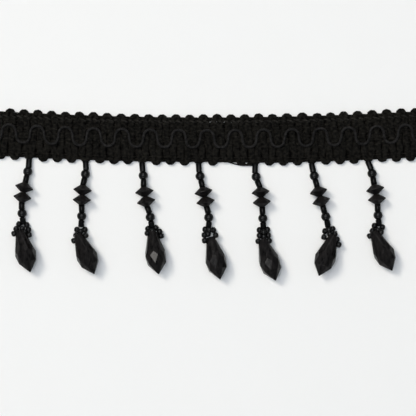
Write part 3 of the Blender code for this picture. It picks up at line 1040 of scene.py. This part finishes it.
# %% Shapes of the turned beads
ROUND_RADIUS = 2.0 * MM
ROUND_STEPS = 14                # down the section
ROUND_SIDES = 28
BUGLE_RADIUS = 1.28 * MM
BUGLE_SOFT = 0.18 * MM          # radius of a bugle's worn ends
BUGLE_SIDES = 20
SEED_RADIUS = 1.25 * MM
SEED_LENGTH = 2.25 * MM
SEED_SOFT = 0.80 * MM
SEED_SIDES = 16
HOLE_RADIUS = 0.55 * MM
SEED_HOLE_RADIUS = 0.40 * MM


def bugle_shape(length):
    """A bugle of some length."""
    section = tube_section(BUGLE_RADIUS, length / 2, HOLE_RADIUS, BUGLE_SOFT)
    return turned("bugle", section, BUGLE_SIDES)


round_shape = turned(
    "round_bead", round_section(ROUND_RADIUS, HOLE_RADIUS, ROUND_STEPS), ROUND_SIDES)
seed_shape = turned(
    "seed_bead", tube_section(SEED_RADIUS, SEED_LENGTH / 2, SEED_HOLE_RADIUS, SEED_SOFT), SEED_SIDES)
print("round bead faces:", len(round_shape.polygons), "seed faces:", len(seed_shape.polygons))

# %% [markdown]
# ## Lozenge beads
# A lozenge is two faceted cones that meet at a sharp rim. Its facets are flat, and every edge is
# polished very slightly round, which catches a thin line of light. A bevel gives that.

# %% The lozenge
LOZENGE_RADIUS = 4.05 * MM
LOZENGE_END_RADIUS = 1.15 * MM
LOZENGE_HALF = 2.15 * MM
LOZENGE_RIM = 0.16 * MM         # half the height of the narrow rim
LOZENGE_SIDES = 10
LOZENGE_POLISH = 0.05 * MM


def bevelled(mesh, width):
    """Polish a flat-sided mesh's edges round."""
    work = bmesh.new()
    work.from_mesh(mesh)
    bmesh.ops.bevel(
        work, geom=work.edges[:], offset=width, segments=2, affect="EDGES", profile=0.5)
    bmesh.ops.recalc_face_normals(work, faces=work.faces)
    work.to_mesh(mesh)
    work.free()
    return mesh


def lozenge_mesh():
    """Two faceted cones with a hole through them."""
    half = LOZENGE_HALF
    section = [
        (LOZENGE_END_RADIUS, half), (LOZENGE_RADIUS, LOZENGE_RIM), (LOZENGE_RADIUS, -LOZENGE_RIM),
        (LOZENGE_END_RADIUS, -half), (HOLE_RADIUS, -half), (HOLE_RADIUS, half),
    ]
    return bevelled(turned("lozenge", section, LOZENGE_SIDES, smooth=False), LOZENGE_POLISH)


lozenge_shape = lozenge_mesh()
print("lozenge faces:", len(lozenge_shape.polygons))

# %% [markdown]
# ## The faceted teardrops
# A teardrop is cut like a chandelier drop: rings of kite facets round the belly, long facets up to
# a slim neck, and a cross hole through the neck. The hull of the rings' corners gives exactly
# those flat facets. They are bevelled before the hole is drilled, so its mouth stays crisp.

# %% The teardrop
Facets = namedtuple("Facets", "above_tip radius turned")
TEARDROP_SIDES = 8
TEARDROP_HOLE = 16.6 * MM       # from the tip to the cross hole of the CAD node
TEARDROP_RINGS = (
    Facets(19.4 * MM, 1.75 * MM, 0),
    Facets(17.5 * MM, 2.15 * MM, 0),
    Facets(10.5 * MM, 4.45 * MM, 1),
    Facets(8.6 * MM, 4.70 * MM, 0),
    Facets(4.8 * MM, 4.15 * MM, 1),
)
TEARDROP_POLISH = 0.09 * MM
FLAT_ANGLE = math.radians(0.5)  # faces that meet at less than this are one facet
CROSS_HOLE_RADIUS = 0.66 * MM
HOLE_RISE = 0.9 * MM            # the hole is this much nearer the neck's end than in the CAD
DRILL_SIDES = 20
DRILL_LENGTH = 8 * MM


def teardrop_hull():
    """The solid facets of a teardrop, with its cross hole's middle at the origin."""
    work = bmesh.new()
    work.verts.new((0, 0, -TEARDROP_HOLE))
    for ring in TEARDROP_RINGS:
        height = ring.above_tip - TEARDROP_HOLE
        for i in range(TEARDROP_SIDES):
            angle = 2 * math.pi * (i + ring.turned / 2) / TEARDROP_SIDES
            work.verts.new((ring.radius * math.cos(angle), ring.radius * math.sin(angle), height))
    bmesh.ops.convex_hull(work, input=work.verts)
    flat = [edge for edge in work.edges if edge.calc_face_angle(1) < FLAT_ANGLE]
    bmesh.ops.dissolve_edges(work, edges=flat, use_verts=False)
    return as_mesh("teardrop", work)


def drill():
    """A round cutter along X for the cross hole."""
    work = bmesh.new()
    turn = Matrix.Rotation(math.pi / 2, 4, "Y")
    bmesh.ops.create_cone(
        work, cap_ends=True, segments=DRILL_SIDES, radius1=CROSS_HOLE_RADIUS,
        radius2=CROSS_HOLE_RADIUS, depth=DRILL_LENGTH,
        matrix=Matrix.Translation(HOLE_RISE * UP) @ turn)
    return as_mesh("drill", work)


teardrop_shape = with_cuts(bevelled(teardrop_hull(), TEARDROP_POLISH), drill())
print("teardrop faces:", len(teardrop_shape.polygons))

# %% [markdown]
# ## Beads on their threads
# One small tree puts a bead's shape on every marked place, each with its own turn, and makes them
# real. A place is a single vertex that carries its turn as a quaternion. The first bugle reaches
# up into the braid, and the last one down between the seed beads, so both are longer than their
# stretch of thread.


# %% The strung beads tree
def strung_tree():
    """Geometry tree that sets a bead at every marked place."""
    bench, given = new_tree("Strung beads", {
        "Bead": ("NodeSocketObject", None),
        "Material": ("NodeSocketMaterial", None),
    })
    bead = bench.add(
        "GeometryNodeObjectInfo", {"transform_space": "ORIGINAL"},
        {"Object": given["Bead"]}, "Geometry")
    turn = bench.add(
        "GeometryNodeInputNamedAttribute", {"data_type": "QUATERNION"}, {"Name": "turn"})
    strung = bench.add(
        "GeometryNodeInstanceOnPoints", {},
        {"Points": given["Geometry"], "Instance": bead, "Rotation": turn})
    return end_tree(bench, strung, given["Material"])


bead_tree = strung_tree()
print("nodes in the bead tree:", len(bead_tree.nodes))


# %% Beads on the strings
def string_beads(name, shape, places, look):
    """Set a bead's shape at places, given as (middle, quaternion)."""
    mesh = bpy.data.meshes.new(name + "_places")
    mesh.from_pydata([middle for middle, turn in places], [], [])
    turns = [part for middle, turn in places for part in turn]
    mesh.attributes.new("turn", "QUATERNION", "POINT").data.foreach_set("value", turns)
    bead = bpy.data.objects.new(name + "_shape", shape)
    piece = grow(name, mesh, bead_tree, {"Bead": bead, "Material": bead_looks[look]})
    bpy.data.objects.remove(bead)
    return piece


def aimed(direction, roll=0.0):
    """A turn that points a bead's hole along a direction."""
    turn = direction.to_track_quat("Z", "Y")
    return turn @ Matrix.Rotation(roll, 3, "Z").to_quaternion()


def places_on_drops(kind, shift, lift):
    """Places of one kind of bead on all drops, moved down the thread and up off the table."""
    places = []
    for joints in joints_of:
        for bead, near, far in zip(STRING, joints, joints[1:]):
            if bead.kind == kind:
                middle = (near + far) / 2 + shift * (far - near).normalized() + lift * UP
                roll = chance.uniform(0, math.pi)
                places.append((middle, aimed(far - near, roll)))
    return places


Strung = namedtuple("Strung", "piece kind shape look shift lift")
STRUNG = (
    Strung("round_beads", "round", round_shape, "round_beads", 0, 0),
    Strung("lozenges", "lozenge", lozenge_shape, "lozenge_beads", 0, 0.04 * MM),
    Strung("first_bugles", "first bugle", bugle_shape(4.0 * MM), "bugle_beads",
           -0.1 * MM, 0.06 * MM),
    Strung("middle_bugles", "middle bugle", bugle_shape(3.4 * MM), "bugle_beads", 0, 0),
    Strung("last_bugles", "last bugle", bugle_shape(2.8 * MM), "bugle_beads",
           0.4 * MM, 0.15 * MM),
)
on_strings = {}
for row in STRUNG:
    places = places_on_drops(row.kind, row.shift, row.lift)
    on_strings[row.piece] = string_beads(row.piece, row.shape, places, row.look)

# %% [markdown]
# ## Teardrops and collars
# Below the last bugle the thread opens into a loop of seed beads, runs through the teardrop's
# cross hole and comes back up. The seed beads follow a curve on each side, from the bugle's end
# round to the hole.

# %% How a teardrop lies
NOSE_UP = math.radians(6)

# Measures of the CAD part's loop, which set how far down a teardrop hangs
LOOP_THREAD_RADIUS = 0.33 * MM
LOOP_RADIUS = 3.0 * MM


def teardrop_turn(drop):
    """Turn of a drop's teardrop, which lies on its belly and is rolled on its axis."""
    down = math.cos(NOSE_UP) * plan_direction(drop.teardrop) + math.sin(NOSE_UP) * UP
    across = down.cross(UP).normalized()
    over = (-down).cross(across)
    lie = Matrix((across, over, -down)).transposed()
    return lie @ Matrix.Rotation(math.radians(drop.roll), 3, "Z")


def teardrop_origin(index):
    """Where a teardrop's own origin goes, on its axis."""
    drop = DROPS[index]
    length = GAP + LOOP_THREAD_RADIUS + LOOP_RADIUS + drop.reach
    origin = joints_of[index][-1] + length * plan_direction(drop.collar)
    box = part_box(f"teardrop_{index + 1}")
    turn = teardrop_turn(drop)
    lowest = min((turn @ vert.co).z for vert in teardrop_shape.vertices)
    origin.z = box[0].z - lowest
    return origin


def teardrop_hole(index):
    """Middle of a teardrop's cross hole."""
    return teardrop_origin(index) + HOLE_RISE * teardrop_turn(DROPS[index]).col[2]


print("height of the first cross hole:", round(teardrop_hole(0).z / MM, 2), "mm")

# %% The seed beads of a collar
SIDE_SEED = 2.95 * MM           # from the cross hole's middle to the seed beside the neck
NECK_FLARE = 0.38               # how fast the neck widens towards the belly
FIRST_ACROSS = 1.75 * MM        # from the thread's end to the first seed of a side
FIRST_FALL = 1.0 * MM           # and the least that it lies below that end
SEED_PITCH = 2.45 * MM
SEED_LIFT = 0.12 * MM           # keeps the first seeds off the table
MIDDLE_SEED_LIFT = 1.5 * MM
BULGE_TURN = 0.75 * math.pi     # a side bulges most two thirds of the way down


def collar_side(index, left):
    """Places of one side's seed beads, from the top to the one beside the teardrop's neck."""
    drop = DROPS[index]
    side = drop.left if left else drop.right
    sign = 1 if left else -1
    down = plan_direction(drop.collar)
    across = sign * down.cross(UP)
    pin = sign * teardrop_turn(drop).col[0]
    top = joints_of[index][-1]
    last = teardrop_hole(index) + (SIDE_SEED + NECK_FLARE * side.slide) * pin
    last += side.slide * plan_direction(drop.teardrop)
    fall = max((last - top).dot(down) - (side.seeds - 1) * SEED_PITCH, FIRST_FALL)
    first = top + FIRST_ACROSS * across + fall * down + SEED_LIFT * UP
    middles = []
    for number in range(side.seeds):
        share = number / (side.seeds - 1)
        bulge = side.bulge * math.sin(BULGE_TURN * share)
        middles.append(first.lerp(last, share) + bulge * across)
    aims = [aimed(far - near) for near, far in zip(middles, middles[1:])]
    return list(zip(middles, [*aims, aimed(pin)]))


def collar_places(index):
    """Places of all the seed beads of a drop."""
    places = collar_side(index, True) + collar_side(index, False)
    down = plan_direction(DROPS[index].collar)
    top = joints_of[index][-1]
    for seed in DROPS[index].middle:
        middle = top + seed.fall * down + seed.right * UP.cross(down) + MIDDLE_SEED_LIFT * UP
        places.append((middle, aimed(down)))
    return places


seed_places = [place for index in range(DROP_COUNT) for place in collar_places(index)]
teardrop_places = [
    (teardrop_origin(index), teardrop_turn(drop).to_quaternion())
    for index, drop in enumerate(DROPS)]
seed_beads = string_beads("seed_beads", seed_shape, seed_places, "seed_beads")
teardrops = string_beads("teardrops", teardrop_shape, teardrop_places, "teardrop_beads")

# %% The threads of the drops
THREAD_WIDTH = 0.55 * MM
LOOP_WIDTH = 0.45 * MM
ROOT_REACH = 2.2 * MM           # how far a thread runs up into the braid
ROOT_FLARE = 1.3 * MM           # and how far its two side threads spread there


def threads_of(index):
    """A drop's thread, its two side threads in the braid and both sides of its loop."""
    joints = joints_of[index]
    root = joints[0] + Vector((0, ROOT_REACH, 0))
    threads = [plain_cord([root, *joints], THREAD_WIDTH)]
    for side in (-ROOT_FLARE, ROOT_FLARE):
        flare = root + Vector((side, 0, 0))
        threads.append(plain_cord([flare, *joints[:2]], THREAD_WIDTH))
    for left in (True, False):
        middles = [middle for middle, aim in collar_side(index, left)]
        threads.append(plain_cord([joints[-1], *middles, teardrop_hole(index)], LOOP_WIDTH))
    return threads


drop_threads = grow_cords(
    "drop_threads", [thread for index in range(DROP_COUNT) for thread in threads_of(index)],
    cord_looks["sewing_thread"], sides=8, spacing=0.25 * MM, ridge=0.02 * MM, pitch=0.5 * MM)

# %% [markdown]
# ## Table, light and camera
# The trim lies on a plain pale surface, and the camera looks straight down. Two lights that the
# gloss doesn't mirror give the soft light and the soft shadows: a warm one from the upper left and
# a bluish one overhead. A card, a small lamp and two strips show in the gloss only: the card and
# the lamp in what lies level, the strips in the bugles that slope. So shadows and mirrored patches
# can each be set without spoiling the other.

# %% The table
TABLE_HALF = 1.5
TABLE_DARK = (0.86, 0.86, 0.865)
TABLE_LIGHT = (0.87, 0.87, 0.875)
TABLE_GRAIN_SCALE = 40.0


def table_finish():
    """A material of matt pale board with a faint grain."""
    bench = FinishBench("pale_table")
    return bench.finish({
        "Base Color": bench.tint(bench.noise(TABLE_GRAIN_SCALE), TABLE_DARK, TABLE_LIGHT),
        "Roughness": 0.9,
        "Specular IOR Level": 0.1,
    })


def plain_table():
    """A large pale floor."""
    mesh = bpy.data.meshes.new("table")
    corners = [(x * TABLE_HALF, y * TABLE_HALF, 0) for x, y in ((-1, -1), (1, -1), (1, 1), (-1, 1))]
    mesh.from_pydata(corners, [], [(0, 1, 2, 3)])
    mesh.materials.append(table_finish())
    return new_object("table", mesh)


table = plain_table()
print("table:", 2 * TABLE_HALF, "m across")

# %% The lights
VIEW_WIDTH = 184.3 * MM
VIEW_CENTRE = Vector((-0.53 * MM, -30.1 * MM, 0))

# Gloss alone mirrors the ones that are mirrored, and the others light all the rest
Light = namedtuple("Light", "name place size power colour mirrored")
LIGHTS = (
    Light("upper_left", (-1.9, 1.6, 3.3), (1.2, 1.2), 88.5, (1.0, 0.94, 0.83), False),
    Light("overhead", (-0.15, 0.05, 1.50), (0.9, 0.9), 11.9, (0.94, 0.972, 1.0), False),
    Light("card", (-0.15, 0.25, 1.50), (1.5, 0.9), 6.5, (0.97, 0.985, 1.0), True),
    Light("lamp", (-0.49, 0.01, 1.45), (0.16, 0.16), 0.9, (1.0, 0.96, 0.90), True),
    Light("strip_lower", (-0.1, -1.79, 1.50), (0.7, 0.5), 5.5, (1.0, 0.98, 0.95), True),
    Light("strip_upper", (-0.1, 1.79, 1.50), (0.7, 0.5), 5.5, (1.0, 0.98, 0.95), True),
)
SKY_COLOUR = (0.84, 0.92, 1.0, 1)
SKY_STRENGTH = 0.24


def area_light(row):
    """A rectangular light aimed at the middle of the view."""
    data = bpy.data.lights.new(row.name, "AREA")
    data.shape = "RECTANGLE"
    data.size, data.size_y = row.size
    data.energy = row.power
    data.color = row.colour
    light = new_object(row.name, data)
    light.visible_glossy = row.mirrored
    light.visible_diffuse = not row.mirrored
    light.location = row.place
    aim = VIEW_CENTRE - light.location
    light.rotation_euler = aim.to_track_quat("-Z", "Y").to_euler()


for row in LIGHTS:
    area_light(row)
world = bpy.data.worlds.new("studio")
world.use_nodes = True
sky = world.node_tree.nodes["Background"]
sky.inputs["Color"].default_value = SKY_COLOUR
sky.inputs["Strength"].default_value = SKY_STRENGTH
bpy.context.scene.world = world
bpy.context.scene.view_settings.view_transform = "Standard"
print("lights:", len(LIGHTS))

# %% The camera
CAMERA_HEIGHT = 0.9
SENSOR_WIDTH = 36.0

camera_data = bpy.data.cameras.new("camera")
camera_data.sensor_width = SENSOR_WIDTH
camera_data.lens = SENSOR_WIDTH * CAMERA_HEIGHT / VIEW_WIDTH
camera = new_object("camera", camera_data)
camera.location = VIEW_CENTRE + CAMERA_HEIGHT * UP
bpy.context.scene.camera = camera
print("lens:", round(camera_data.lens, 1), "mm")

# %% [markdown]
# ## The pieces on the trim's body
# Each row gives a piece, a finish of the record and the CAD nodes that the piece stands for. Every
# piece rides on the trim's one body, and those CAD nodes are hidden.


# %% Rides and replaced nodes
def nodes_of(*starts):
    """Names of the CAD nodes that there is one of on each drop."""
    return [f"{start}_{number}" for start in starts for number in range(1, DROP_COUNT + 1)]


stands_for = [
    (gimp, "black_gimp_braid", ["header"]),
    (warp_threads, "black_gimp_braid", []),
    (chain_stitches, "black_gimp_braid", []),
    (ground, "black_gimp_braid", []),
    (scroll, "black_scroll_cord", ["scroll_cord"]),
    (drop_threads, "black_bugles_on_thread", nodes_of("strand")),
    (on_strings["first_bugles"], "black_bugles_on_thread", []),
    (on_strings["middle_bugles"], "black_bugles_on_thread", []),
    (on_strings["last_bugles"], "black_bugles_on_thread", []),
    (on_strings["round_beads"], "black_round_beads", nodes_of("round_upper", "round_lower")),
    (on_strings["lozenges"], "black_lozenge_beads", nodes_of("lozenge_upper", "lozenge_lower")),
    (seed_beads, "black_seed_beads", nodes_of("seed_collar")),
    (teardrops, "black_faceted_teardrops", nodes_of("teardrop")),
]
for piece, slot, nodes in stands_for:
    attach(piece, "root")
    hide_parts(*nodes)
